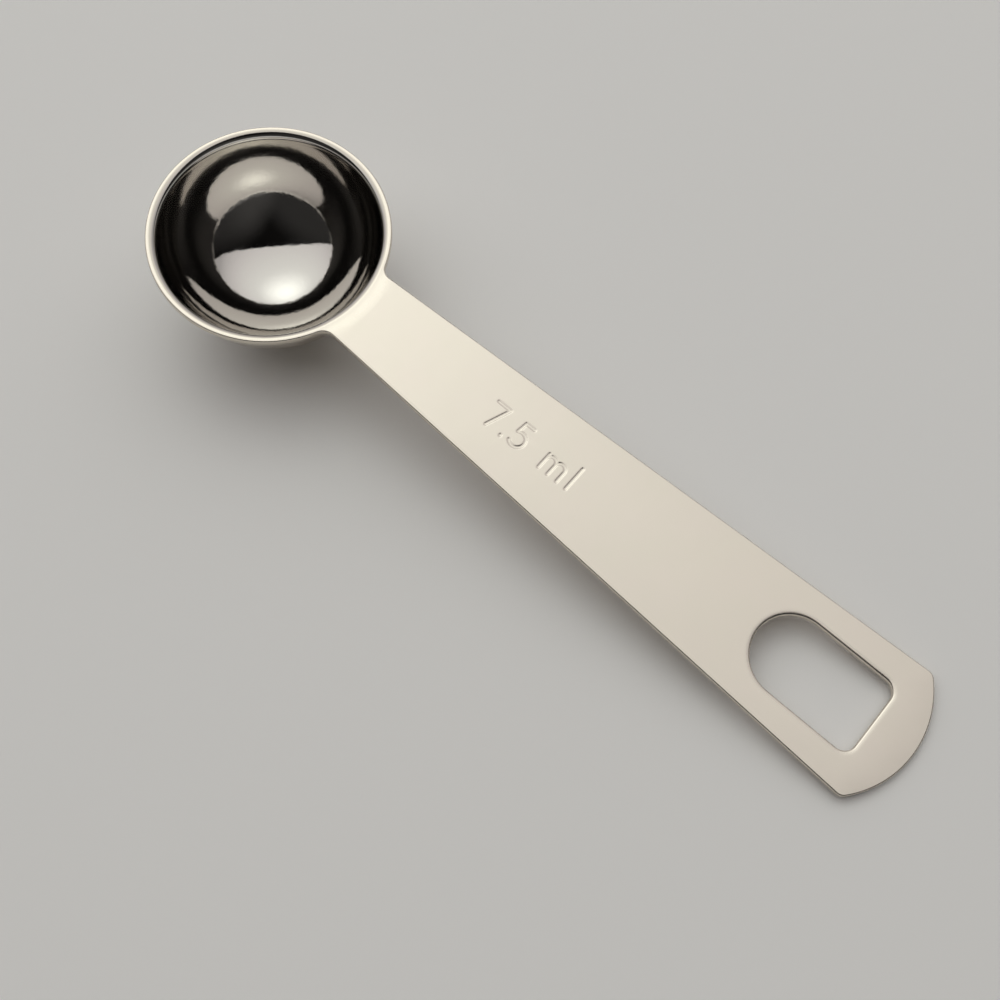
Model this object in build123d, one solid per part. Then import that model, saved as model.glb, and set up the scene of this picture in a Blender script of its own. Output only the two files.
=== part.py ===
"""Measuring spoon for 7.5 ml, pressed from one stainless sheet and resting on a table.

The spoon is drawn level first: the bowl's centre is the origin, the flat top of the lip and
of the handle is z = 0, and the handle runs along +X. It is then tipped until the bowl's
bottom and the handle's end both touch the table, which is z = 0 in the finished part.
The pressing is cut square across the handle, a root's length from the lip. The polished bowl
with that root and the rest of the satin handle are two pieces that meet face to face.
"""

import os
from math import asin, atan2, cos, degrees, hypot, pi, sin, sqrt

from build123d import *

os.makedirs("parts", exist_ok=True)

# Sheet, in millimetres like every size here
sheet = 1.0  # flat stock of the lip and the handle
edge_break = 0.2  # the tumbled edges of the outline and the slot, as a small bevel
overrun = 2.0  # how far a cutting shape stands out of what it cuts

# Bowl
bowl_radius = 15.3  # inside: half a sphere of this radius holds 7.5 ml
bowl_wall = 0.7  # thinner than the sheet, because drawing stretches it
draw_radius = 1.1  # from the flat lip down into the bowl
bend_steps = 5  # short cones that make up the draw radius, true to 0.015
under_bevel = 0.4  # fills the corner between the bowl and the lip underneath
lip_radius = 16.7  # to the outside of the lip

# Handle, seen from above
handle_reach = 107.7  # from the bowl's centre to the tip
width_at_lip = 11.3  # where the taper would meet the front of the lip
width_at_end = 19.9  # across the two end corners, before they are rounded
end_arc_radius = 14.7
corner_radius = 1.3
neck_radius = 1.8  # the small hollow curve between the lip and the handle's edges
root_length = 21.0  # of the handle that is one piece with the bowl, measured from the lip

# Hanging slot, a D with its round side towards the bowl
slot_length = 17.6
slot_width = 10.9
slot_to_tip = 6.1
slot_corner_radius = 1.7

# Worked out from those sizes
draw_centre = sqrt(bowl_radius**2 + 2 * bowl_radius * draw_radius)
bowl_depth = bowl_radius + bowl_wall
end_half = width_at_end / 2
end_centre = handle_reach - end_arc_radius
corner_x = end_centre + sqrt(end_arc_radius**2 - end_half**2)
slot_end = handle_reach - slot_to_tip
root_end = lip_radius + root_length
tip_x = handle_reach - edge_break
rest_angle = asin(bowl_depth / hypot(tip_x, sheet)) - atan2(sheet, tip_x)


def blank():
    """The flat outline: the lip's disc, the tapered handle and the hollow curves between."""
    slope = (end_half - width_at_lip / 2) / (corner_x - lip_radius)
    half_at_centre = width_at_lip / 2 - slope * lip_radius
    with BuildSketch() as outline:
        with BuildLine():
            Line((0, -half_at_centre), (corner_x, -end_half))
            RadiusArc((corner_x, -end_half), (corner_x, end_half), -end_arc_radius)
            Line((corner_x, end_half), (0, half_at_centre))
            Line((0, half_at_centre), (0, -half_at_centre))
        make_face()
        ends = [v for v in outline.vertices() if v.X > lip_radius]
        fillet(ends, corner_radius)
        Circle(lip_radius)
        necks = [v for v in outline.vertices() if 0 < v.X < lip_radius]
        fillet(necks, neck_radius)
    return outline.sketch


def hanging_slot():
    """The slot's outline: a half circle, two straight sides and a straight outer end."""
    half = slot_width / 2
    bow = slot_end - slot_length + half
    with BuildSketch() as slot:
        with BuildLine():
            Line((bow, -half), (slot_end, -half))
            Line((slot_end, -half), (slot_end, half))
            Line((slot_end, half), (bow, half))
            RadiusArc((bow, half), (bow, -half), -half)
        make_face()
        corners = [v for v in slot.vertices() if v.X > slot_end - half]
        fillet(corners, slot_corner_radius)
    return slot.sketch


def plate():
    """The sheet before drawing, top face at z = 0, with every sharp edge broken."""
    flat = extrude(blank() - hanging_slot(), -sheet)
    faces_up_and_down = flat.faces().filter_by(Axis.Z)
    rims = [edge for face in faces_up_and_down for edge in face.edges()]
    return chamfer(rims, edge_break)


def on_ball(ball, angle):
    """A point of a ball's profile, at an angle from the outward direction."""
    return (ball * cos(angle), ball * sin(angle))


def turned(profile):
    """The solid that a half profile makes when it is turned about the bowl's axis."""
    with BuildPart() as turning:
        with BuildSketch(Plane.XZ):
            with BuildLine():
                profile()
            make_face()
        revolve(axis=Axis.Z)
    return turning.part


def outside_profile():
    """Half the bowl's outside: the ball, a bevel under the lip and a plug into the sheet."""
    lean = -asin(sheet / bowl_depth) - under_bevel / bowl_depth
    low = on_ball(bowl_depth, (lean - pi / 2) / 2)
    meet = on_ball(bowl_depth, lean)
    under = (meet[0] + under_bevel, -sheet)
    ThreePointArc((0, -bowl_depth), low, meet)
    Polyline(meet, under, (under[0], -sheet / 2), (0, -sheet / 2), (0, -bowl_depth))


def inside_profile():
    """Half the bowl's inside: the ball, then the draw radius as short cones up to the lip."""
    lean = -asin(draw_radius / (bowl_radius + draw_radius))
    low = on_ball(bowl_radius, (lean - pi / 2) / 2)
    meet = on_ball(bowl_radius, lean)
    crown = (draw_centre, 0)
    bend = []
    for step in range(1, bend_steps):
        turn = lean + pi - (lean + pi / 2) * step / bend_steps
        bend.append((draw_centre + draw_radius * cos(turn), draw_radius * (sin(turn) - 1)))
    ThreePointArc((0, -bowl_radius), low, meet)
    Polyline(meet, *bend, crown, (draw_centre, overrun), (0, overrun), (0, -bowl_radius))


def pressing():
    """The whole spoon, level: the plate with the bowl drawn down through its disc."""
    return plate() + turned(outside_profile) - turned(inside_profile)


def at_rest(piece):
    """Tips a piece of the level spoon until the bowl and the handle's tip are on the table."""
    tipped = piece.rotate(Axis.Y, degrees(rest_angle))
    return tipped.translate((0, 0, bowl_depth))


spoon = pressing()
across = Plane.YZ.offset(root_end)
footprint = at_rest(spoon).bounding_box()
middle = (footprint.min.X + footprint.max.X) / 2
pieces = {
    "bowl": split(spoon, bisect_by=across, keep=Keep.BOTTOM),
    "handle": split(spoon, bisect_by=across, keep=Keep.TOP),
}
for name, piece in pieces.items():
    export_step(at_rest(piece).translate((-middle, 0, 0)), f"parts/{name}.step")

fill = 2 / 3 * pi * bowl_radius**3
print(f"rest angle {degrees(rest_angle):.3f} degrees, bowl centre at x = {-middle:.3f}")
print(f"half sphere holds {fill:.0f} cubic millimetres, overall length {lip_radius + handle_reach:.1f}")
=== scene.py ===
# %% [markdown]
# # A pressed steel measuring spoon
#
# The real spoon is one blank of stainless sheet. A press draws half a ball into one end, and
# the rest of the blank stays flat as the handle. The bowl is buffed to a mirror and the handle
# is left satin. The CAD frame holds the sizes and the place of both. It could be rendered as
# it is, but a mirror shows every facet, so this lesson builds finer meshes in the same place.

from math import asin, atan2, cos, hypot, pi, radians, sin, sqrt

import bpy
from mathutils import Matrix, Vector
from mathutils.geometry import delaunay_2d_cdt


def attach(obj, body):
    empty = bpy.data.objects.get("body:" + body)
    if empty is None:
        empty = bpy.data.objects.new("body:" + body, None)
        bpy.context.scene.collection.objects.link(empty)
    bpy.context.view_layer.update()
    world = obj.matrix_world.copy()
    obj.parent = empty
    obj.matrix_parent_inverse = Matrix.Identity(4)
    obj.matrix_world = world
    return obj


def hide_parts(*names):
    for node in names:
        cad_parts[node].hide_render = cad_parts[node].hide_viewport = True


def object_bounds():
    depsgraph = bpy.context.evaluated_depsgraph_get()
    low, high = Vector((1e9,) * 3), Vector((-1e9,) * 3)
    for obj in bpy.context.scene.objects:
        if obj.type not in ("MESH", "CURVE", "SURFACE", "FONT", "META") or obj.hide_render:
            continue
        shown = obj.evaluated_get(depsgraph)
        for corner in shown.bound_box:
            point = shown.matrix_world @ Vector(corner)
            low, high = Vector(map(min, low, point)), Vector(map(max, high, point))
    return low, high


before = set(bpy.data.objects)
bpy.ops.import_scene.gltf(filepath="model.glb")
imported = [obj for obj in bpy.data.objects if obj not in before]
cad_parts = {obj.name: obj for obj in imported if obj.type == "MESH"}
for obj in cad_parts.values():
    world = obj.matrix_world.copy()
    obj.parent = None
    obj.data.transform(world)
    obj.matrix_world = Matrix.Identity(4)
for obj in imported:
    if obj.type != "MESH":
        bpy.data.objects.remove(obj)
cad_low, cad_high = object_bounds()
print("frame nodes:", sorted(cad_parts), "box from", tuple(cad_low), "to", tuple(cad_high))

# %% [markdown]
# ## Sizes
#
# A maker works from a drawing, so the sizes come first and everything else follows from them.
# They could be read off the frame's meshes, but a drawing's sizes are easier to understand.
# The spoon is drawn level, with the bowl's centre at zero and the handle along +X.

# %% The drawing's sizes
MM = 0.001

sheet = 1.0 * MM
edge_round = 0.2 * MM
bowl_radius = 15.3 * MM
bowl_wall = 0.7 * MM
draw_radius = 1.1 * MM
under_bend = 0.4 * MM
lip_radius = 16.7 * MM
handle_reach = 107.7 * MM
width_at_lip = 11.3 * MM
width_at_end = 19.9 * MM
end_arc_radius = 14.7 * MM
corner_radius = 1.3 * MM
neck_radius = 1.8 * MM
root_length = 21.0 * MM
slot_length = 17.6 * MM
slot_width = 10.9 * MM
slot_to_tip = 6.1 * MM
slot_corner_radius = 1.7 * MM

# %% What follows from them
bowl_depth = bowl_radius + bowl_wall
draw_centre = sqrt(bowl_radius**2 + 2 * bowl_radius * draw_radius)
under_centre = sqrt((bowl_depth + under_bend) ** 2 - (sheet + under_bend) ** 2)
root_end = lip_radius + root_length
end_centre = handle_reach - end_arc_radius
corner_x = end_centre + sqrt(end_arc_radius**2 - (width_at_end / 2) ** 2)
taper = atan2((width_at_end - width_at_lip) / 2, corner_x - lip_radius)
slot_end = handle_reach - slot_to_tip
slot_bow = slot_end - slot_length + slot_width / 2
print(f"taper {taper:.4f} rad, bowl {bowl_depth / MM:.1f} mm deep")

# %% [markdown]
# ## At rest on the table
#
# The level drawing is tipped until the bowl's bottom and the handle's tip both touch the
# table. The angle follows from the sizes, and the bowl's centre from the frame's own box.

# %% From the level drawing to the table
tip_x = handle_reach - edge_round
rest_angle = asin(bowl_depth / hypot(tip_x, sheet)) - atan2(sheet, tip_x)
far_lip = lip_radius * cos(rest_angle) + (sheet - edge_round) * sin(rest_angle)
bowl_centre = Vector((cad_low.x + far_lip, 0, bowl_depth))
to_table = Matrix.Translation(bowl_centre) @ Matrix.Rotation(rest_angle, 4, "Y")
print(f"rests at {rest_angle:.4f} rad, bowl centre x {bowl_centre.x / MM:.2f} mm")

# %% [markdown]
# ## The outline
#
# A stamping tool cuts one closed outline. Here it is a chain of lines and arcs, each of them
# moved inwards by an inset, because the rounded edge is a stack of the same outline at
# growing insets. A bevel modifier would also round an edge, but it would round the flat cut
# where the two pieces meet as well, and this way the cut stays sharp.

# %% Lines, arcs and mirrored halves
def angle_of(direction):
    """The direction's angle from +X."""
    return atan2(direction.y, direction.x)


def arc(centre, radius, start, end, count):
    """Points along an arc, both ends included."""
    angles = [start + (end - start) * k / (count - 1) for k in range(count)]
    return [centre + radius * Vector((cos(a), sin(a))) for a in angles]


def line(start, end, count):
    """Points along a straight line, without its two ends."""
    return [start.lerp(end, k / (count + 1)) for k in range(1, count + 1)]


def mirrored(points):
    """The same points on the other side of the handle, in the opposite order."""
    return [Vector((p.x, -p.y)) for p in reversed(points)]


# %% The handle's straight edge, and the curves at its two ends
side_along = Vector((cos(taper), sin(taper)))
side_out = Vector((-sin(taper), cos(taper)))
side_offset = side_out.dot(Vector((lip_radius, width_at_lip / 2)))

neck_centre = side_out * (side_offset + neck_radius)
neck_reach = lip_radius + neck_radius
neck_centre += side_along * sqrt(neck_reach**2 - neck_centre.length_squared)

end_middle = Vector((end_centre, 0))
corner_out = side_offset - corner_radius - side_out.dot(end_middle)
corner_reach = end_arc_radius - corner_radius
corner_along = sqrt(corner_reach**2 - corner_out**2)
corner_centre = end_middle + side_out * corner_out + side_along * corner_along
print("neck curve's centre", tuple(neck_centre / MM), "end corner's", tuple(corner_centre / MM))


def on_side(x, inset):
    """The point of the handle's +Y edge at a distance x, moved in by the inset."""
    return Vector((x, (side_offset - inset + x * sin(taper)) / cos(taper)))


# %% The outlines of the bowl with its root, and of the handle
LIP_STEPS, NECK_STEPS, ROOT_STEPS, CUT_STEPS = 300, 18, 40, 30
LONG_STEPS, CORNER_STEPS, END_STEPS = 90, 14, 80


def bowl_outline(inset):
    """Counter-clockwise, from the cut's +Y end round the lip and back along the cut."""
    top = on_side(root_end, inset)
    start, end = angle_of(-side_out), angle_of(-neck_centre)
    neck = arc(neck_centre, neck_radius + inset, start, end, NECK_STEPS)
    half = [top] + line(top, neck[0], ROOT_STEPS) + neck
    opening = angle_of(neck_centre)
    lip = arc(Vector((0, 0)), lip_radius - inset, opening, 2 * pi - opening, LIP_STEPS)
    other = mirrored(half)
    return half + lip[1:-1] + other + line(other[-1], top, CUT_STEPS)


def handle_outline(inset):
    """Counter-clockwise, from the cut's -Y end round the tip and back along the cut."""
    top = on_side(root_end, inset)
    turn = angle_of(corner_centre - end_middle)
    corner = arc(corner_centre, corner_radius - inset, turn, angle_of(side_out), CORNER_STEPS)
    half = corner + line(corner[-1], top, LONG_STEPS) + [top]
    end = arc(end_middle, end_arc_radius - inset, -turn, turn, END_STEPS)
    other = mirrored(half)
    return other + end[1:-1] + half + line(top, other[0], CUT_STEPS)


print(len(bowl_outline(0)), "points round the bowl,", len(handle_outline(0)), "round the handle")


# %% The slot's outline
def slot_outline(outset):
    """Counter-clockwise round the slot's D, moved out into the sheet by the outset."""
    half = slot_width / 2
    corner_at = Vector((slot_end - slot_corner_radius, half - slot_corner_radius))
    corner = arc(corner_at, slot_corner_radius + outset, 0, pi / 2, CORNER_STEPS)
    bow = arc(Vector((slot_bow, 0)), half + outset, pi / 2, 3 * pi / 2, END_STEPS)
    side = line(corner[-1], bow[0], CUT_STEPS)
    low = mirrored(corner)
    return corner + side + bow + mirrored(side) + low + line(low[-1], corner[0], CUT_STEPS)


print(len(slot_outline(0)), "points round the slot")

# %% [markdown]
# ## Skins of loops
#
# Both pieces are closed skins: a stack of loops with the same number of points, joined by
# four-sided faces. Tumbling has rounded every edge of the real blank, so its edge is eight
# loops over the top corner and eight over the bottom one. A punch also drags the top face
# down over the last part of a millimetre, which a bevel alone would miss.

# %% Rounded edges
ROUND_STEPS = 7
DRAG_STEPS = 8


def rounded_edge(outline, size, drag_width=0.0, drag_drop=0.0):
    """The loops from the top face over the edge to the bottom face."""
    turns = [pi / 2 * k / ROUND_STEPS for k in range(ROUND_STEPS + 1)]
    upper = [(size * (1 - sin(turn)), -size * (1 - cos(turn))) for turn in turns]
    lower = [(inset, -sheet - z) for inset, z in reversed(upper)]
    if drag_width:
        step = (drag_width - size) / DRAG_STEPS
        flat = [(drag_width - k * step, 0.0) for k in range(DRAG_STEPS)]
        dragged = flat + upper
        upper = [(inset, z - drag_drop * (1 - inset / drag_width) ** 2) for inset, z in dragged]
    return [[Vector((*p, z)) for p in outline(inset)] for inset, z in upper + lower]


print("a plain edge of the handle takes", len(rounded_edge(handle_outline, edge_round)), "loops")

# %% Skins and finished objects
SHARP_ANGLE = radians(40)


def skin(loops, first):
    """The faces between loops of equal length, whose points are numbered from first on."""
    count = len(loops[0])
    faces = []
    for row in range(len(loops) - 1):
        for j in range(count):
            here, there = first + row * count, first + (row + 1) * count
            after = (j + 1) % count
            faces.append((here + j, there + j, there + after, here + after))
    return faces


def make_piece(name, points, faces):
    """A smooth object on the table, with its sharp corners kept at the flat cut."""
    mesh = bpy.data.meshes.new(name)
    mesh.from_pydata([to_table @ p for p in points], [], faces)
    mesh.update()
    mesh.shade_smooth()
    mesh.set_sharp_from_angle(angle=SHARP_ANGLE)
    piece = bpy.data.objects.new(name, mesh)
    bpy.context.scene.collection.objects.link(piece)
    print(name, "has", len(mesh.vertices), "points and", len(mesh.polygons), "faces")
    return piece


# %% [markdown]
# ## The bowl
#
# Drawing gives the bowl three zones: half a ball, a bend of 1.1 mm up to the flat, and the
# flat lip that runs on as the handle's root. A sphere with a solidify modifier would be
# quicker but has no bend, no lip and no root. Here each loop of the bowl has the headings of
# the outline's own points, so ball, bend, lip and root are one skin without a seam.

# %% Profiles of the bowl
BALL_STEPS, BEND_STEPS = 64, 16


def sweep(centre_r, centre_z, radius, start, end, count):
    """Points (distance from the axis, height) along an arc of the profile."""
    angles = [start + (end - start) * k / (count - 1) for k in range(count)]
    return [(centre_r + radius * cos(a), centre_z + radius * sin(a)) for a in angles]


inside_lean = -asin(draw_radius / (bowl_radius + draw_radius))
outside_lean = -asin((sheet + under_bend) / (bowl_depth + under_bend))
ball_inside = sweep(0, 0, bowl_radius, -pi / 2, inside_lean, BALL_STEPS)[1:]
bend_from = inside_lean + pi
bend_inside = sweep(draw_centre, -draw_radius, draw_radius, bend_from, pi / 2, BEND_STEPS)[1:]
below = -sheet - under_bend
bend_outside = sweep(under_centre, below, under_bend, pi / 2, outside_lean + pi, BEND_STEPS)
ball_outside = sweep(0, 0, bowl_depth, outside_lean, -pi / 2, BALL_STEPS)[1:-1]
print("profile points:", len(ball_inside), len(bend_inside), len(bend_outside), len(ball_outside))

# %% [markdown]
# The press also pulls the root down a little where it meets the bowl. That shallow dish
# turns towards the light and shows as a brighter band across the neck.

# %% The dish across the neck
DISH_DROP = 0.1 * MM
DISH_STARTS = (15.2 * MM, 16.0 * MM)
DISH_ENDS = (16.6 * MM, 18.5 * MM)
DISH_SIDES = (radians(16), radians(32))


def smooth_step(low, high, value):
    """0 below low, 1 above high, and a soft rise between them."""
    t = min(max((value - low) / (high - low), 0), 1)
    return t * t * (3 - 2 * t)


def dished(point):
    """The point of the top face, lowered where the dish is."""
    reach = hypot(point.x, point.y)
    from_root = abs(atan2(point.y, point.x))
    near_bowl = smooth_step(*DISH_STARTS, reach) - smooth_step(*DISH_ENDS, reach)
    drop = DISH_DROP * near_bowl * (1 - smooth_step(*DISH_SIDES, from_root))
    return Vector((point.x, point.y, point.z - drop))


deepest = Vector((DISH_STARTS[1], 0, 0))
print(f"the dish is {-dished(deepest).z / MM:.2f} mm deep")

# %% Loops of the bowl
def turned(profile, headings):
    """One loop for each profile point, with a point at each heading."""
    return [[Vector((r * c, r * s, z)) for c, s in headings] for r, z in profile]


def between(first, last, shares):
    """Loops between two loops, at the given shares of the way."""
    return [[a.lerp(b, share) for a, b in zip(first, last)] for share in shares]


edge_loops = rounded_edge(bowl_outline, edge_round)
headings = [(cos(a), sin(a)) for a in (angle_of(p) for p in edge_loops[0])]
hollow = turned(ball_inside + bend_inside, headings)
outer = turned(bend_outside + ball_outside, headings)

# Closer together near the bowl, where the dish is
near_shares = [0.008 * k for k in range(1, 16)] + [0.16, 0.22, 0.3, 0.4, 0.52, 0.66, 0.82]
far_shares = [1 - share for share in reversed(near_shares)]

over, under = edge_loops[: ROUND_STEPS + 1], edge_loops[ROUND_STEPS + 1 :]
top_loops = hollow + between(hollow[-1], over[0], near_shares) + over
top_loops = [[dished(p) for p in loop] for loop in top_loops]
under_loops = under + between(under[-1], outer[0], far_shares) + outer
loops = top_loops + under_loops
print(len(loops), "loops of", len(loops[0]), "points")

# %% Make the bowl
poles = [Vector((0, 0, -bowl_radius)), Vector((0, 0, -bowl_depth))]
points = poles + [p for loop in loops for p in loop]

count = len(loops[0])
last = 2 + (len(loops) - 1) * count
faces = skin(loops, 2)
faces += [(0, 2 + j, 2 + (j + 1) % count) for j in range(count)]
faces += [(1, last + (j + 1) % count, last + j) for j in range(count)]
bowl = make_piece("polished_bowl", points, faces)
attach(bowl, "root")
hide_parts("bowl")

# %% [markdown]
# ## The capacity mark
#
# A stamp has pressed the capacity into the handle with a line about 0.4 mm wide. It could be
# cut with a boolean, but a stamp leaves soft shoulders. Here each figure is a few strokes, and
# every point of the top face is lowered by how near it is to a stroke. The figures are plain
# ones drawn for this lesson.

# %% Strokes of the figures
MARK_HEIGHT = 3.6 * MM
MARK_MIDDLE = 47.1 * MM
STROKE_HALF = 0.2 * MM
STROKE_DEPTH = 0.09 * MM
SHOULDER = 0.34 * MM
CURVE_STEPS = 15


def curve(centre, radius, start, end):
    """A stroke that bends, as short straight lines. Angles are in degrees."""
    return arc(Vector(centre), radius, radians(start), radians(end), CURVE_STEPS)


def straight(*corners):
    """A stroke of straight lines."""
    return [Vector(corner) for corner in corners]


# Each figure is its width and its strokes, as shares of the figures' height
FIGURES = [
    (0.58, [straight((0, 1), (0.56, 1), (0.2, 0))]),
    (0.14, [straight((0.06, 0.01), (0.06, 0.04))]),
    (0.6, [straight((0.5, 1), (0.12, 1), (0.07, 0.57)), curve((0.25, 0.31), 0.31, 125, -140)]),
    (0.42, []),
    (
        0.92,
        [
            straight((0, 0), (0, 0.66)),
            curve((0.21, 0.44), 0.21, 180, 0) + straight((0.42, 0)),
            curve((0.63, 0.44), 0.21, 180, 0) + straight((0.84, 0)),
        ],
    ),
    (0.2, [straight((0.1, 0), (0.1, 1))]),
]
print(len(FIGURES), "places in the mark, one of them a space")

# %% Lay the strokes along the handle
GAP = 0.24
mark_width = sum(width for width, _ in FIGURES) + GAP * (len(FIGURES) - 1)
cursor = -mark_width / 2
segments = []
mark_at = Vector((MARK_MIDDLE, 0))
for width, strokes in FIGURES:
    for stroke in strokes:
        laid = [Vector((cursor + p.x, p.y - 0.5)) * MARK_HEIGHT + mark_at for p in stroke]
        segments += list(zip(laid, laid[1:]))
    cursor += width + GAP
print(f"{len(segments)} short lines, mark {mark_width * MARK_HEIGHT / MM:.1f} mm long")


def to_strokes(point):
    """The distance from a point to the nearest stroke."""
    nearest = 1.0
    for a, b in segments:
        along = b - a
        share = min(max((point - a).dot(along) / along.length_squared, 0), 1)
        nearest = min(nearest, (point - a - along * share).length)
    return nearest


# %% [markdown]
# ## The handle
#
# The handle is flat, so its top and bottom could be one face each. The mark needs points to
# sink, though, and the slot is a hole. A constrained triangulation fills between the two
# outlines, keeps their points, and takes a fine grid of extra points round the strokes.

# %% Triangles between the outline, the slot and the points of the mark
INSIDE_ONLY = 1
SAME_POINT = 1e-5


def filled(outline, hole, inner):
    """Triangles over the flat between the outline and the hole, using the inner points too."""
    flat = [p.xy for p in outline + hole] + inner
    rim = [list(range(len(outline)))]
    first, end = len(outline), len(outline) + len(hole)
    hole_edges = [(k, k + 1) for k in range(first, end - 1)] + [(end - 1, first)]
    made = delaunay_2d_cdt([p / MM for p in flat], hole_edges, rim, INSIDE_ONLY, SAME_POINT)
    triangles = [tuple(face) for face in made[2] if not all(first <= k < end for k in face)]
    print(len(flat), "points given,", len(made[0]), "used,", len(triangles), "triangles")
    return triangles


# %% A fine grid of points round the strokes
GRID = 0.1 * MM
mark_half = mark_width * MARK_HEIGHT / 2 + 3 * SHOULDER
columns = int(2 * mark_half / GRID)
rows = int((MARK_HEIGHT + 4 * SHOULDER) / GRID)
inner = []
for i in range(columns):
    for k in range(rows):
        x = MARK_MIDDLE - mark_half + GRID * (i + 0.5 * (k % 2))
        y = GRID * (k - rows / 2)
        if to_strokes(Vector((x, y))) < 1.4 * SHOULDER:
            inner.append(Vector((x, y)))
print(len(inner), "extra points for the mark")


# %% Points of the handle
DRAG_WIDTH = 0.75 * MM
DRAG_DROP = 0.15 * MM


def pressed(point):
    """The inner point of the top face, sunk where a stroke of the mark is."""
    depth = STROKE_DEPTH * (1 - smooth_step(0.3 * STROKE_HALF, SHOULDER, to_strokes(point)))
    return Vector((point.x, point.y, -depth))


rim_loops = rounded_edge(handle_outline, edge_round)
slot_edge = rounded_edge(slot_outline, edge_round, DRAG_WIDTH, DRAG_DROP)
slot_loops = [list(reversed(loop)) for loop in slot_edge]
points = [p for loop in rim_loops + slot_loops for p in loop]
rim_count, slot_count = len(rim_loops[0]), len(slot_loops[0])
slot_first = len(rim_loops) * rim_count
inner_first = len(points)
points += [pressed(p) for p in inner]
print(len(points), "points, of them", len(inner), "under the mark")


# %% Make the handle
def numbered(face, rim_at, slot_at, inner_at):
    """The face with its flat numbers turned into the numbers of the piece's points."""
    numbers = []
    for k in face:
        if k < rim_count:
            numbers.append(rim_at + k)
        elif k < rim_count + slot_count:
            numbers.append(slot_at + k - rim_count)
        else:
            numbers.append(inner_at + k - rim_count - slot_count)
    return tuple(numbers)


faces = skin(rim_loops, 0) + skin(slot_loops, slot_first)
for face in filled(rim_loops[0], slot_loops[0], inner):
    faces.append(numbered(face, 0, slot_first, inner_first))
bottom_rim = (len(rim_loops) - 1) * rim_count
bottom_slot = slot_first + (len(slot_loops) - 1) * slot_count
for face in filled(rim_loops[-1], slot_loops[-1], []):
    faces.append(numbered(face, bottom_rim, bottom_slot, 0)[::-1])
handle = make_piece("satin_handle", points, faces)
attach(handle, "root")
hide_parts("handle")

# %% [markdown]
# ## Steel, mirror and satin
#
# Both pieces are the same stainless steel, a grey metal with a slight warmth. Buffing with
# compound makes the bowl a mirror, and the handle keeps the mill's satin, which is dull enough
# to blur a lamp into an even glow. One roughness for each would be simpler, but the bowl would
# look like glass and the handle like paint. So each finish has its own marks, drawn in the
# millimetres of the level drawing, and the mirror goes over to the satin on the lip.

# %% Colours and nodes
def colour(hex_code):
    """An sRGB hex colour as the linear colour that Blender's sockets take."""
    parts = [int(hex_code[k : k + 2], 16) / 255 for k in (1, 3, 5)]
    return [c / 12.92 if c <= 0.04045 else ((c + 0.055) / 1.055) ** 2.4 for c in parts] + [1.0]


def add_node(tree, kind, inputs=None, **settings):
    """Adds a node with its settings, and gives each named input its value or its link."""
    node = tree.nodes.new(kind)
    for name, value in settings.items():
        setattr(node, name, value)
    for key, value in (inputs or {}).items():
        if isinstance(value, bpy.types.NodeSocket):
            tree.links.new(value, node.inputs[key])
        else:
            node.inputs[key].default_value = value
    return node


print("the grey #808080 is", round(colour("#808080")[0], 3), "in linear light")

# %% The drawing's millimetres
def drawing_point(tree, place):
    """The surface's point in millimetres of the level drawing, so that patterns have real sizes."""
    level = add_node(
        tree,
        "ShaderNodeMapping",
        {
            "Vector": place.outputs["Object"],
            "Location": bowl_centre,
            "Rotation": (0, rest_angle, 0),
            "Scale": (MM, MM, MM),
        },
        vector_type="TEXTURE",
    )
    return level.outputs["Vector"]


print("patterns start at the bowl's centre,", tuple(round(v / MM, 2) for v in bowl_centre))

# %% [markdown]
# Rolling leaves hair-fine lines along the sheet. Real ones are some hundredths of a
# millimetre wide, too fine to show, so they are drawn 0.2 mm wide. Tumbling and the stamp
# burnish every slope, so the satin is smoother wherever it tilts away from the flat.

# %% Satin
# Nearly all of a noise texture lies between these two values
NOISE_LOW, NOISE_HIGH = 0.3, 0.7
GRAIN_WIDTH = 0.2
GRAIN_STRETCH = 25
GRAIN_HEIGHT = 0.001 * MM
BLOTCH_SIZE = 6
WAVE_LENGTH = 4
WAVE_HEIGHT = 0.02 * MM
SATIN_ROUGHNESS = (0.28, 0.31)
BURNISHED_ROUGHNESS = 0.18
SLOPE_COSINES = (0.95, 0.996)  # of 18 and 5 degrees of tilt
SATIN_TONES = ("#E0D6CB", "#DDD6C8")


def satin_roughness(tree, place, grain):
    """Dull where the sheet is flat, with the grain in it, and smoother on every slope."""
    dullness = add_node(
        tree,
        "ShaderNodeMapRange",
        {
            "Value": grain,
            "From Min": NOISE_LOW,
            "From Max": NOISE_HIGH,
            "To Min": SATIN_ROUGHNESS[0],
            "To Max": SATIN_ROUGHNESS[1],
        },
    )
    facing = add_node(
        tree,
        "ShaderNodeVectorMath",
        {0: place.outputs["Normal"], 1: (sin(rest_angle), 0, cos(rest_angle))},
        operation="DOT_PRODUCT",
    )
    burnish = add_node(
        tree,
        "ShaderNodeMapRange",
        {
            "Value": facing.outputs["Value"],
            "From Min": SLOPE_COSINES[0],
            "From Max": SLOPE_COSINES[1],
            "To Min": BURNISHED_ROUGHNESS,
            "To Max": dullness.outputs["Result"],
        },
        interpolation_type="SMOOTHSTEP",
    )
    return burnish.outputs["Result"]


print(f"grain {GRAIN_WIDTH} mm wide and {GRAIN_WIDTH * GRAIN_STRETCH} mm long")

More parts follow.
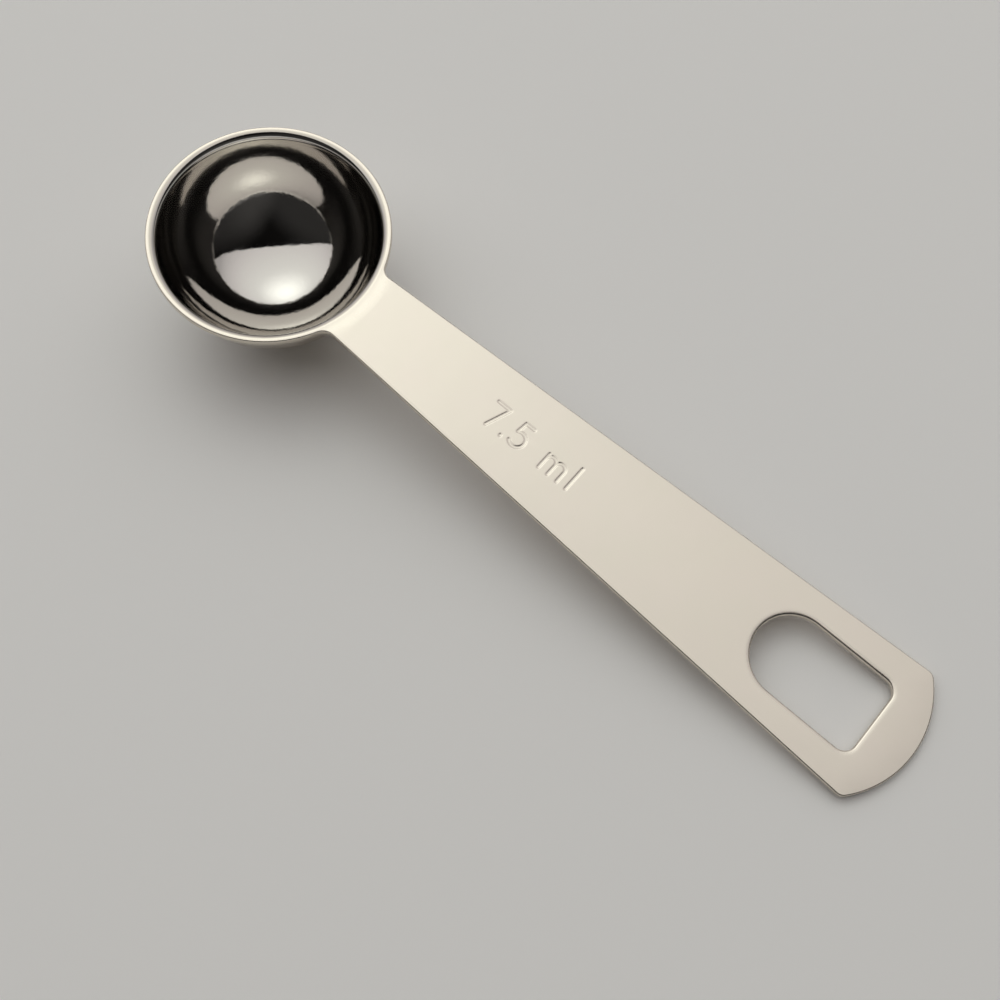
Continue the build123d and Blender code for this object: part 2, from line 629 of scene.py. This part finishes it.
# %% The satin's shader
def satin_finish(tree, place, spot):
    """The satin's shader, with blotches, grain and slight waves, and its roughness."""
    along = add_node(tree, "ShaderNodeMapping", {"Vector": spot, "Scale": (1 / GRAIN_STRETCH, 1, 1)})
    grain = add_node(
        tree,
        "ShaderNodeTexNoise",
        {"Vector": along.outputs["Vector"], "Scale": 1 / GRAIN_WIDTH, "Detail": 3.0, "Roughness": 0.6},
    )
    blotches = add_node(
        tree,
        "ShaderNodeTexNoise",
        {"Vector": spot, "Scale": 1 / BLOTCH_SIZE, "Detail": 2.0, "Roughness": 0.5},
    )
    tone = add_node(
        tree,
        "ShaderNodeMix",
        {"Factor": blotches.outputs["Fac"], "A": colour(SATIN_TONES[0]), "B": colour(SATIN_TONES[1])},
        data_type="RGBA",
    )
    waves = add_node(
        tree,
        "ShaderNodeTexNoise",
        {"Vector": spot, "Scale": 1 / WAVE_LENGTH, "Detail": 1.0, "Roughness": 0.4},
    )
    sheet_waves = add_node(
        tree,
        "ShaderNodeBump",
        {"Height": waves.outputs["Fac"], "Strength": 1.0, "Distance": WAVE_HEIGHT},
    )
    relief = add_node(
        tree,
        "ShaderNodeBump",
        {
            "Height": grain.outputs["Fac"],
            "Normal": sheet_waves.outputs["Normal"],
            "Strength": 1.0,
            "Distance": GRAIN_HEIGHT,
        },
    )
    roughness = satin_roughness(tree, place, grain.outputs["Fac"])
    satin = add_node(
        tree,
        "ShaderNodeBsdfPrincipled",
        {
            "Base Color": tone.outputs["Result"],
            "Metallic": 1.0,
            "Roughness": roughness,
            "Normal": relief.outputs["Normal"],
        },
    )
    return satin, roughness


print("satin tones", *SATIN_TONES)

# %% [markdown]
# A mop with compound turns inside the bowl and leaves rings in its mirror. They are drawn
# 0.8 mm apart, coarser than real ones, so that they show. A finer restlessness frays the
# edges of what the mirror shows. The mop reaches the steep wall under the lip less well, so
# the wall is a little hazier.

# %% The mirror's haze and relief
RING_PITCH = 0.8
RING_HEIGHT = 0.004 * MM
FRAY_SIZE = 0.9
FRAY_HEIGHT = 0.009 * MM
MIRROR_ROUGHNESS = (0.04, 0.07)
WALL_ROUGHNESS = 0.1
WALL_HEIGHTS = (-7.0, -1.5)  # millimetres, with the flat top of the lip at 0


def mirror_roughness(tree, spot, rings):
    """Nearly nothing in the bowl, with the rings in it, and more up the wall."""
    haze = add_node(
        tree,
        "ShaderNodeMapRange",
        {
            "Value": rings,
            "From Min": NOISE_LOW,
            "From Max": NOISE_HIGH,
            "To Min": MIRROR_ROUGHNESS[0],
            "To Max": MIRROR_ROUGHNESS[1],
        },
    )
    height = add_node(tree, "ShaderNodeSeparateXYZ", {"Vector": spot})
    wall_haze = add_node(
        tree,
        "ShaderNodeMapRange",
        {
            "Value": height.outputs["Z"],
            "From Min": WALL_HEIGHTS[0],
            "From Max": WALL_HEIGHTS[1],
            "To Min": haze.outputs["Result"],
            "To Max": WALL_ROUGHNESS,
        },
        interpolation_type="SMOOTHSTEP",
    )
    return wall_haze.outputs["Result"]


def mirror_relief(tree, spot, rings):
    """The rings as hardly any height, with the finer fraying on them."""
    fray = add_node(
        tree,
        "ShaderNodeTexNoise",
        {"Vector": spot, "Scale": 1 / FRAY_SIZE, "Detail": 3.0, "Roughness": 0.6},
    )
    ring_relief = add_node(
        tree,
        "ShaderNodeBump",
        {"Height": rings, "Strength": 1.0, "Distance": RING_HEIGHT},
    )
    relief = add_node(
        tree,
        "ShaderNodeBump",
        {
            "Height": fray.outputs["Fac"],
            "Normal": ring_relief.outputs["Normal"],
            "Strength": 1.0,
            "Distance": FRAY_HEIGHT,
        },
    )
    return relief.outputs["Normal"]


print(f"rings {RING_PITCH} mm apart and at most {RING_HEIGHT / MM} mm high")

# %% The mirror's shader
MIRROR_TONE = "#D5D1CB"
LIP_TONE = "#CFC7BB"
TONE_CHANGE = (15.6, 16.1)  # millimetres from the bowl's centre


def mirror_finish(tree, spot, reach):
    """The mirror, whose tone turns to the lip's warmer one at the top of the draw radius."""
    lip_tone = add_node(
        tree,
        "ShaderNodeMapRange",
        {"Value": reach, "From Min": TONE_CHANGE[0], "From Max": TONE_CHANGE[1]},
    )
    tone = add_node(
        tree,
        "ShaderNodeMix",
        {"Factor": lip_tone.outputs["Result"], "A": colour(MIRROR_TONE), "B": colour(LIP_TONE)},
        data_type="RGBA",
    )
    round_axis = add_node(tree, "ShaderNodeMapping", {"Vector": spot, "Scale": (0.12, 0.12, 1)})
    rings = add_node(
        tree,
        "ShaderNodeTexNoise",
        {"Vector": round_axis.outputs["Vector"], "Scale": 1 / RING_PITCH, "Detail": 2.0},
    )
    return add_node(
        tree,
        "ShaderNodeBsdfPrincipled",
        {
            "Base Color": tone.outputs["Result"],
            "Metallic": 1.0,
            "Roughness": mirror_roughness(tree, spot, rings.outputs["Fac"]),
            "Normal": mirror_relief(tree, spot, rings.outputs["Fac"]),
        },
    )


print("mirror tone", MIRROR_TONE, "and on the lip", LIP_TONE)

# %% [markdown]
# The mop stops on the lip. Its outer edge wanders, and leaves a smoother band of satin
# across the neck before the plain satin begins.

# %% The band across the neck
BAND_WANDER = 2.4
BAND_NOTCH = 2.5
BAND_EDGE = (17.8, 19.5)  # millimetres from the bowl's centre
BAND_ROUGHNESS = 0.25


def neck_band(tree, spot, reach, plain):
    """The roughness of the satin: lower near the lip, and the plain one farther out."""
    wander = add_node(
        tree,
        "ShaderNodeTexNoise",
        {"Vector": spot, "Scale": 1 / BAND_NOTCH, "Detail": 3.0, "Roughness": 0.65},
    )
    ragged = add_node(
        tree,
        "ShaderNodeMath",
        {0: wander.outputs["Fac"], 1: BAND_WANDER, 2: reach},
        operation="MULTIPLY_ADD",
    )
    band = add_node(
        tree,
        "ShaderNodeMapRange",
        {
            "Value": ragged.outputs["Value"],
            "From Min": BAND_EDGE[0],
            "From Max": BAND_EDGE[1],
            "To Min": BAND_ROUGHNESS,
            "To Max": plain,
        },
        interpolation_type="SMOOTHSTEP",
    )
    return band.outputs["Result"]


print(f"the band's edge wanders by up to {BAND_WANDER} mm")


# %% Both materials
MOP_EDGE = (16.0, 16.6)  # millimetres from the bowl's centre


def stainless(name, buffed):
    """Satin stainless steel, buffed to a mirror near the bowl's centre if asked."""
    material = bpy.data.materials.new(name)
    material.use_nodes = True
    tree = material.node_tree
    tree.nodes.clear()
    place = add_node(tree, "ShaderNodeTexCoord")
    spot = drawing_point(tree, place)
    satin, plain = satin_finish(tree, place, spot)
    surface = satin.outputs["BSDF"]
    if buffed:
        length = add_node(tree, "ShaderNodeVectorMath", {0: spot}, operation="LENGTH")
        reach = length.outputs["Value"]
        tree.links.new(neck_band(tree, spot, reach, plain), satin.inputs["Roughness"])
        mirror = mirror_finish(tree, spot, reach)
        fade = add_node(
            tree,
            "ShaderNodeMapRange",
            {"Value": reach, "From Min": MOP_EDGE[0], "From Max": MOP_EDGE[1]},
            interpolation_type="SMOOTHSTEP",
        )
        finish = add_node(
            tree,
            "ShaderNodeMixShader",
            {0: fade.outputs["Result"], 1: mirror.outputs["BSDF"], 2: surface},
        )
        surface = finish.outputs["Shader"]
    add_node(tree, "ShaderNodeOutputMaterial", {"Surface": surface})
    print(name, "has", len(tree.nodes), "nodes")
    return material


bowl.data.materials.append(stainless("mirror_polished_stainless_steel", True))
handle.data.materials.append(stainless("satin_stainless_steel", False))

# %% [markdown]
# ## The table
#
# A plain pale tabletop lets the steel show its own greys. It is matt laminate, so it has a
# soft, wide gloss and no picture in it.

# %% A matt pale tabletop
LAMINATE_TONE = "#F5F3F0"
half_table = 2.5
tabletop_mesh = bpy.data.meshes.new("tabletop")
corners = [(-1, -1), (1, -1), (1, 1), (-1, 1)]
table_points = [(half_table * x, half_table * y, 0) for x, y in corners]
tabletop_mesh.from_pydata(table_points, [], [(0, 1, 2, 3)])
tabletop = bpy.data.objects.new("tabletop", tabletop_mesh)
bpy.context.scene.collection.objects.link(tabletop)

laminate = bpy.data.materials.new("matt_white_laminate")
laminate.use_nodes = True
tree = laminate.node_tree
tree.nodes.clear()
board = add_node(
    tree, "ShaderNodeBsdfPrincipled", {"Base Color": colour(LAMINATE_TONE), "Roughness": 0.6}
)
tabletop_mesh.materials.append(laminate)
print("tabletop", 2 * half_table, "m wide")

# %% [markdown]
# Far from the spoon the table goes over to the tone of the walls, as a studio's curved
# backdrop does, because a bare edge would show as a dark line. A curved mesh would do it too,
# but it would change the light. Here only the camera and the steel's reflections see the
# change, and the table itself is lit as before.

# %% The backdrop
BACKDROP_STARTS = 0.15
BACKDROP_FULL = 0.8
BACKDROP_LIGHT = (0.62, 0.32)
on_table = add_node(tree, "ShaderNodeTexCoord")
from_spoon = add_node(
    tree, "ShaderNodeVectorMath", {0: on_table.outputs["Object"]}, operation="LENGTH"
)
far_off = add_node(
    tree,
    "ShaderNodeMapRange",
    {"Value": from_spoon.outputs["Value"], "From Min": BACKDROP_STARTS, "From Max": BACKDROP_FULL},
    interpolation_type="SMOOTHSTEP",
)
parts = add_node(tree, "ShaderNodeSeparateXYZ", {"Vector": on_table.outputs["Object"]})
wall_tone = add_node(
    tree,
    "ShaderNodeMapRange",
    {
        "Value": parts.outputs["Y"],
        "From Min": -1.0,
        "From Max": 1.0,
        "To Min": BACKDROP_LIGHT[0],
        "To Max": BACKDROP_LIGHT[1],
    },
    interpolation_type="SMOOTHSTEP",
)
backdrop = add_node(
    tree,
    "ShaderNodeEmission",
    {"Color": colour(LAMINATE_TONE), "Strength": wall_tone.outputs["Result"]},
)
ray = add_node(tree, "ShaderNodeLightPath")
seen = ray.outputs["Is Camera Ray"]
for kind in ("Is Glossy Ray", "Is Transmission Ray"):
    either = add_node(tree, "ShaderNodeMath", {0: seen, 1: ray.outputs[kind]}, operation="MAXIMUM")
    seen = either.outputs["Value"]
share = add_node(tree, "ShaderNodeMath", {0: far_off.outputs["Result"], 1: seen}, operation="MULTIPLY")
top = add_node(
    tree,
    "ShaderNodeMixShader",
    {0: share.outputs["Value"], 1: board.outputs["BSDF"], 2: backdrop.outputs["Emission"]},
)
add_node(tree, "ShaderNodeOutputMaterial", {"Surface": top.outputs["Shader"]})
print(f"backdrop from {BACKDROP_STARTS} to {BACKDROP_FULL} m from the spoon")

# %% [markdown]
# ## Light
#
# Polished steel shows its lamps, so such a product is lit by one large even surface. A round
# diffuser hangs above the spoon, so wide that only its near edge shows, as the almost straight
# line across the bowl. Its bulb makes it brighter around one point. A plain area lamp would be
# simpler but gives the handle one flat tone, and this one lets it darken towards its end. Only
# angles count in a mirror, so its size and its places are multiples of its height.

# %% The diffuser
LAMP_HEIGHT = 2.0
LAMP_AT = (-2.745, 2.74, 1.0)
LAMP_SPREAD = 4.23
lamp_radius = LAMP_SPREAD * LAMP_HEIGHT
lamp = bpy.data.lights.new("diffuser", "AREA")
lamp.shape = "DISK"
lamp.size = 2 * lamp_radius
# The power grows with the disc's area, so it is as bright at any size
lamp.energy = pi * pi * lamp_radius**2
diffuser = bpy.data.objects.new("diffuser", lamp)
diffuser.location = Vector(LAMP_AT) * LAMP_HEIGHT
diffuser.visible_camera = False
bpy.context.scene.collection.objects.link(diffuser)
print(f"diffuser {lamp.size:.2f} m across, {lamp.energy:.1f} W")

# %% Bright in front of its bulb, dim towards its rim
BULB_AT = (-0.53, 0.38, 1.0)
BRIGHT_REACH = 0.62
BRIGHT_LIGHT = (1.72, 0.95)
DIM_REACH = (0.6, 2.0)
DIM_LIGHT = 0.47
TINT_REACH = 1.2
LAMP_TINTS = ("#FBFFFA", "#FFFCFC")
bulb_place = Vector(BULB_AT) * LAMP_HEIGHT
lamp.use_nodes = True
tree = lamp.node_tree
tree.nodes.clear()
cloth = add_node(tree, "ShaderNodeNewGeometry")
away = add_node(
    tree, "ShaderNodeVectorMath", {0: cloth.outputs["Position"], 1: bulb_place}, operation="DISTANCE"
)
glow = add_node(
    tree,
    "ShaderNodeMapRange",
    {
        "Value": away.outputs["Value"],
        "From Min": 0.0,
        "From Max": BRIGHT_REACH * LAMP_HEIGHT,
        "To Min": BRIGHT_LIGHT[0],
        "To Max": BRIGHT_LIGHT[1],
    },
    interpolation_type="SMOOTHSTEP",
)
dim = add_node(
    tree,
    "ShaderNodeMapRange",
    {
        "Value": away.outputs["Value"],
        "From Min": DIM_REACH[0] * LAMP_HEIGHT,
        "From Max": DIM_REACH[1] * LAMP_HEIGHT,
        "To Min": 1.0,
        "To Max": DIM_LIGHT,
    },
)
strength = add_node(
    tree, "ShaderNodeMath", {0: glow.outputs["Result"], 1: dim.outputs["Result"]}, operation="MULTIPLY"
)
near_bulb = add_node(
    tree,
    "ShaderNodeMapRange",
    {"Value": away.outputs["Value"], "From Min": 0.0, "From Max": TINT_REACH * LAMP_HEIGHT},
)
tint = add_node(
    tree,
    "ShaderNodeMix",
    {
        "Factor": near_bulb.outputs["Result"],
        "A": colour(LAMP_TINTS[0]),
        "B": colour(LAMP_TINTS[1]),
    },
    data_type="RGBA",
)
lit = add_node(
    tree, "ShaderNodeEmission", {"Color": tint.outputs["Result"], "Strength": strength.outputs["Value"]}
)
add_node(tree, "ShaderNodeOutputLight", {"Surface": lit.outputs["Emission"]})
print("bulb behind the cloth at", tuple(round(v, 3) for v in bulb_place))

# %% [markdown]
# The room is dark above, so the mirror has true blacks, and pale near the horizon on the
# viewer's side, as a studio with one white wall is. A little of that wall's light reaches
# the ceiling there and beyond the handle's end, so steel that turns away isn't quite black.

# %% The room
WALL_TONE = "#FAF8F6"
WALL_LIGHT = (0.6, 0.3)
WALL_TOP = (0.08, 0.26)
CEILING_LIGHT = (0.055, 0.01)
FAR_LIGHT = 0.09
world = bpy.data.worlds.new("studio")
world.use_nodes = True
tree = world.node_tree
tree.nodes.clear()
look = add_node(tree, "ShaderNodeTexCoord")
parts = add_node(tree, "ShaderNodeSeparateXYZ", {"Vector": look.outputs["Generated"]})
wall = add_node(
    tree,
    "ShaderNodeMapRange",
    {
        "Value": parts.outputs["Y"],
        "From Min": -0.4,
        "From Max": 0.4,
        "To Min": WALL_LIGHT[0],
        "To Max": WALL_LIGHT[1],
    },
    interpolation_type="SMOOTHSTEP",
)
ceiling = add_node(
    tree,
    "ShaderNodeMapRange",
    {
        "Value": parts.outputs["Y"],
        "From Min": -0.75,
        "From Max": -0.35,
        "To Min": CEILING_LIGHT[0],
        "To Max": CEILING_LIGHT[1],
    },
    interpolation_type="SMOOTHSTEP",
)
far_side = add_node(
    tree,
    "ShaderNodeMapRange",
    {
        "Value": parts.outputs["X"],
        "From Min": 0.55,
        "From Max": 0.9,
        "To Min": 0.0,
        "To Max": FAR_LIGHT,
    },
    interpolation_type="SMOOTHSTEP",
)
overhead = add_node(
    tree, "ShaderNodeMath", {0: ceiling.outputs["Result"], 1: far_side.outputs["Result"]}, operation="ADD"
)
height = add_node(
    tree,
    "ShaderNodeMapRange",
    {
        "Value": parts.outputs["Z"],
        "From Min": WALL_TOP[0],
        "From Max": WALL_TOP[1],
        "To Min": 1.0,
        "To Max": overhead.outputs["Value"],
    },
    interpolation_type="SMOOTHSTEP",
)
walls = add_node(
    tree, "ShaderNodeMath", {0: wall.outputs["Result"], 1: height.outputs["Result"]}, operation="MULTIPLY"
)
room = add_node(
    tree, "ShaderNodeBackground", {"Color": colour(WALL_TONE), "Strength": walls.outputs["Value"]}
)
add_node(tree, "ShaderNodeOutputWorld", {"Surface": room.outputs["Background"]})
bpy.context.scene.world = world
bpy.context.scene.view_settings.view_transform = "Standard"
print("room set, view transform", bpy.context.scene.view_settings.view_transform)

# %% [markdown]
# ## Camera
#
# The camera stands above the handle's end, 17 cm away, and is turned a little about its own
# axis. It could be set by three angles, but a place, a point to look at and a roll are easier
# to change by eye.

# %% The camera
camera_data = bpy.data.cameras.new("camera")
camera_data.lens = 47.04
camera_data.sensor_width = 36.0
camera_data.clip_start = 0.01
camera = bpy.data.objects.new("camera", camera_data)
camera_at = Vector((78.74, -54.81, 157.28)) * MM
looks_at = Vector((48.78, -8.50, 0.0)) * MM
camera_roll = radians(8.20)
aim = (looks_at - camera_at).to_track_quat("-Z", "Y").to_matrix().to_4x4()
on_drawing = Matrix.Translation(camera_at) @ aim @ Matrix.Rotation(camera_roll, 4, "Z")
camera.matrix_world = to_table @ on_drawing
bpy.context.scene.collection.objects.link(camera)
bpy.context.scene.camera = camera
print("camera at", tuple(camera.location), "looking at", tuple(looks_at))
